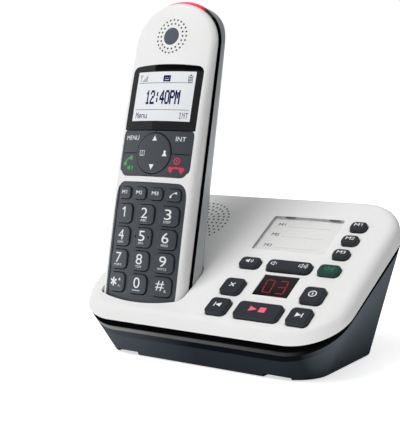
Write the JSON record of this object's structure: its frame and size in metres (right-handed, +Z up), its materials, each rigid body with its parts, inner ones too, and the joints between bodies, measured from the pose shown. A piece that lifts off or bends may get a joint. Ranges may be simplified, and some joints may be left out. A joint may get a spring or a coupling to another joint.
{
  "type": "cordless telephone with answering machine",
  "caption": "Slim cordless telephone handset with display and keypad, standing in a wedge-shaped answering-machine base with keys, message counter and index card.",
  "frame": {"origin": "on the table under the middle of the base", "axes": "+Z up, -Y towards the user at the front of the base, +X to the right"},
  "size_m": [0.14, 0.09, 0.1688],
  "materials": {
    "white_cover": "fine satin moulded",
    "slate_shell": "satin moulded",
    "black_trim": "polished",
    "silver_shell": "silver satin paint",
    "red_light": "translucent",
    "black_lens": "polished",
    "display_glass": "smooth",
    "slate_keypad": "soft matt",
    "slate_key": "fine matt",
    "silicone_mat": "matt",
    "circuit_board": "solder mask",
    "sounder": "matt",
    "cell_wrap": "plain wrap",
    "contact_metal": "plated",
    "counter_face": "tinted",
    "card_paper": "plain paper",
    "clear_window": "clear plastic sheet",
    "socket_plastic": "matt",
    "rubber_foot": "matt"
  },
  "bodies": {
    "base": {"base_lower_shell": "slate_shell", "base_trim_band": "black_trim", "base_top_cover": "white_cover", "base_circuit_board": "circuit_board", "base_loudspeaker": "sounder", "message_counter": "counter_face", "index_card": "card_paper", "card_window": "clear_window", "line_socket": "socket_plastic", "power_inlet": "socket_plastic", "rubber_feet": "rubber_foot"},
    "handset": {"handset_front_cover": "white_cover", "handset_rear_cover": "silver_shell", "handset_trim_band": "black_trim", "top_light_pipe": "red_light", "display_lens": "black_lens", "display_module": "display_glass", "keypad_panel": "slate_keypad", "keypad_mat": "silicone_mat", "handset_circuit_board": "circuit_board", "earpiece_receiver": "sounder", "microphone": "sounder", "battery_cells": "cell_wrap", "battery_contacts": "contact_metal", "handset_charge_contacts": "contact_metal"},
    "charging_pins": {"charging_pins": "contact_metal"},
    "battery_door": {"battery_door": "silver_shell"},
    "volume_rocker": {"volume_rocker": "slate_key"},
    "navigation_pivot": {"navigation_pivot": "slate_keypad"},
    "navigation_key": {"navigation_key": "slate_keypad"},
    "previous_key": {"previous_key": "slate_key"},
    "play_stop_key": {"play_stop_key": "slate_key"},
    "next_key": {"next_key": "slate_key"},
    "delete_key": {"delete_key": "slate_key"},
    "power_key": {"power_key": "slate_key"},
    "ringer_mute_key": {"ringer_mute_key": "slate_key"},
    "speakerphone_key": {"speakerphone_key": "slate_key"},
    "base_memory_key_1": {"base_memory_key_1": "slate_key"},
    "base_memory_key_2": {"base_memory_key_2": "slate_key"},
    "base_memory_key_3": {"base_memory_key_3": "slate_key"},
    "key_1": {"key_1": "slate_keypad"},
    "key_2": {"key_2": "slate_keypad"},
    "key_3": {"key_3": "slate_keypad"},
    "key_4": {"key_4": "slate_keypad"},
    "key_5": {"key_5": "slate_keypad"},
    "key_6": {"key_6": "slate_keypad"},
    "key_7": {"key_7": "slate_keypad"},
    "key_8": {"key_8": "slate_keypad"},
    "key_9": {"key_9": "slate_keypad"},
    "key_star": {"key_star": "slate_keypad"},
    "key_0": {"key_0": "slate_keypad"},
    "key_hash": {"key_hash": "slate_keypad"},
    "memory_key_1": {"memory_key_1": "slate_keypad"},
    "memory_key_2": {"memory_key_2": "slate_keypad"},
    "memory_key_3": {"memory_key_3": "slate_keypad"},
    "line_key": {"line_key": "slate_keypad"},
    "menu_key": {"menu_key": "slate_keypad"},
    "intercom_key": {"intercom_key": "slate_keypad"},
    "talk_key": {"talk_key": "slate_keypad"},
    "end_key": {"end_key": "slate_keypad"}
  },
  "joints": [
    {"name": "handset_lift", "type": "slide", "parent": "base", "child": "handset", "axis": [0, 0.2164, 0.9763], "range_m": [0, 0.06]},
    {"name": "battery_door_pull", "type": "slide", "parent": "handset", "child": "battery_door", "axis": [0, 0.9763, -0.2164], "range_m": [0, 0.01]},
    {"name": "charging_pins_press", "type": "slide", "parent": "base", "child": "charging_pins", "axis": [0, -0.2164, -0.9763], "range_m": [0, 0.0008], "stiffness_N_per_m": 800},
    {"name": "volume_rock", "type": "hinge", "parent": "base", "child": "volume_rocker", "pos_m": [0.0303, -0.00648, 0.04121], "axis": [0, 0.8669, 0.4985], "range_deg": [-3, 3], "stiffness_Nm_per_rad": 0.05},
    {"name": "navigation_rock_sideways", "type": "hinge", "parent": "handset", "child": "navigation_pivot", "pos_m": [-0.0355, -0.02005, 0.09452], "axis": [0, 0.2164, 0.9763], "range_deg": [-2.5, 2.5], "stiffness_Nm_per_rad": 0.03},
    {"name": "navigation_rock_up_down", "type": "hinge", "parent": "navigation_pivot", "child": "navigation_key", "pos_m": [-0.0355, -0.02005, 0.09452], "axis": [1, 0, 0], "range_deg": [-2.5, 2.5], "stiffness_Nm_per_rad": 0.03},
    {"name": "previous_key_press", "type": "slide", "parent": "base", "child": "previous_key", "axis": [0, 0.4985, -0.8669], "range_m": [0, 0.001], "stiffness_N_per_m": 600},
    {"name": "play_stop_key_press", "type": "slide", "parent": "base", "child": "play_stop_key", "axis": [0, 0.4985, -0.8669], "range_m": [0, 0.001], "stiffness_N_per_m": 600},
    {"name": "next_key_press", "type": "slide", "parent": "base", "child": "next_key", "axis": [0, 0.4985, -0.8669], "range_m": [0, 0.001], "stiffness_N_per_m": 600},
    {"name": "delete_key_press", "type": "slide", "parent": "base", "child": "delete_key", "axis": [0, 0.4985, -0.8669], "range_m": [0, 0.001], "stiffness_N_per_m": 600},
    {"name": "power_key_press", "type": "slide", "parent": "base", "child": "power_key", "axis": [0, 0.4985, -0.8669], "range_m": [0, 0.001], "stiffness_N_per_m": 600},
    {"name": "ringer_mute_key_press", "type": "slide", "parent": "base", "child": "ringer_mute_key", "axis": [0, 0.4985, -0.8669], "range_m": [0, 0.001], "stiffness_N_per_m": 600},
    {"name": "speakerphone_key_press", "type": "slide", "parent": "base", "child": "speakerphone_key", "axis": [0, 0.4985, -0.8669], "range_m": [0, 0.001], "stiffness_N_per_m": 600},
    {"name": "base_memory_key_1_press", "type": "slide", "parent": "base", "child": "base_memory_key_1", "axis": [0, 0.4985, -0.8669], "range_m": [0, 0.001], "stiffness_N_per_m": 600},
    {"name": "base_memory_key_2_press", "type": "slide", "parent": "base", "child": "base_memory_key_2", "axis": [0, 0.4985, -0.8669], "range_m": [0, 0.001], "stiffness_N_per_m": 600},
    {"name": "base_memory_key_3_press", "type": "slide", "parent": "base", "child": "base_memory_key_3", "axis": [0, 0.4985, -0.8669], "range_m": [0, 0.001], "stiffness_N_per_m": 600},
    {"name": "key_1_press", "type": "slide", "parent": "handset", "child": "key_1", "axis": [0, 0.9763, -0.2164], "range_m": [0, 0.0008], "stiffness_N_per_m": 600},
    {"name": "key_2_press", "type": "slide", "parent": "handset", "child": "key_2", "axis": [0, 0.9763, -0.2164], "range_m": [0, 0.0008], "stiffness_N_per_m": 600},
    {"name": "key_3_press", "type": "slide", "parent": "handset", "child": "key_3", "axis": [0, 0.9763, -0.2164], "range_m": [0, 0.0008], "stiffness_N_per_m": 600},
    {"name": "key_4_press", "type": "slide", "parent": "handset", "child": "key_4", "axis": [0, 0.9763, -0.2164], "range_m": [0, 0.0008], "stiffness_N_per_m": 600},
    {"name": "key_5_press", "type": "slide", "parent": "handset", "child": "key_5", "axis": [0, 0.9763, -0.2164], "range_m": [0, 0.0008], "stiffness_N_per_m": 600},
    {"name": "key_6_press", "type": "slide", "parent": "handset", "child": "key_6", "axis": [0, 0.9763, -0.2164], "range_m": [0, 0.0008], "stiffness_N_per_m": 600},
    {"name": "key_7_press", "type": "slide", "parent": "handset", "child": "key_7", "axis": [0, 0.9763, -0.2164], "range_m": [0, 0.0008], "stiffness_N_per_m": 600},
    {"name": "key_8_press", "type": "slide", "parent": "handset", "child": "key_8", "axis": [0, 0.9763, -0.2164], "range_m": [0, 0.0008], "stiffness_N_per_m": 600},
    {"name": "key_9_press", "type": "slide", "parent": "handset", "child": "key_9", "axis": [0, 0.9763, -0.2164], "range_m": [0, 0.0008], "stiffness_N_per_m": 600},
    {"name": "key_star_press", "type": "slide", "parent": "handset", "child": "key_star", "axis": [0, 0.9763, -0.2164], "range_m": [0, 0.0008], "stiffness_N_per_m": 600},
    {"name": "key_0_press", "type": "slide", "parent": "handset", "child": "key_0", "axis": [0, 0.9763, -0.2164], "range_m": [0, 0.0008], "stiffness_N_per_m": 600},
    {"name": "key_hash_press", "type": "slide", "parent": "handset", "child": "key_hash", "axis": [0, 0.9763, -0.2164], "range_m": [0, 0.0008], "stiffness_N_per_m": 600},
    {"name": "memory_key_1_press", "type": "slide", "parent": "handset", "child": "memory_key_1", "axis": [0, 0.9763, -0.2164], "range_m": [0, 0.0008], "stiffness_N_per_m": 600},
    {"name": "memory_key_2_press", "type": "slide", "parent": "handset", "child": "memory_key_2", "axis": [0, 0.9763, -0.2164], "range_m": [0, 0.0008], "stiffness_N_per_m": 600},
    {"name": "memory_key_3_press", "type": "slide", "parent": "handset", "child": "memory_key_3", "axis": [0, 0.9763, -0.2164], "range_m": [0, 0.0008], "stiffness_N_per_m": 600},
    {"name": "line_key_press", "type": "slide", "parent": "handset", "child": "line_key", "axis": [0, 0.9763, -0.2164], "range_m": [0, 0.0008], "stiffness_N_per_m": 600},
    {"name": "menu_key_press", "type": "slide", "parent": "handset", "child": "menu_key", "axis": [0, 0.9763, -0.2164], "range_m": [0, 0.0008], "stiffness_N_per_m": 600},
    {"name": "intercom_key_press", "type": "slide", "parent": "handset", "child": "intercom_key", "axis": [0, 0.9763, -0.2164], "range_m": [0, 0.0008], "stiffness_N_per_m": 600},
    {"name": "talk_key_press", "type": "slide", "parent": "handset", "child": "talk_key", "axis": [0, 0.9763, -0.2164], "range_m": [0, 0.0008], "stiffness_N_per_m": 600},
    {"name": "end_key_press", "type": "slide", "parent": "handset", "child": "end_key", "axis": [0, 0.9763, -0.2164], "range_m": [0, 0.0008], "stiffness_N_per_m": 600}
  ]
}
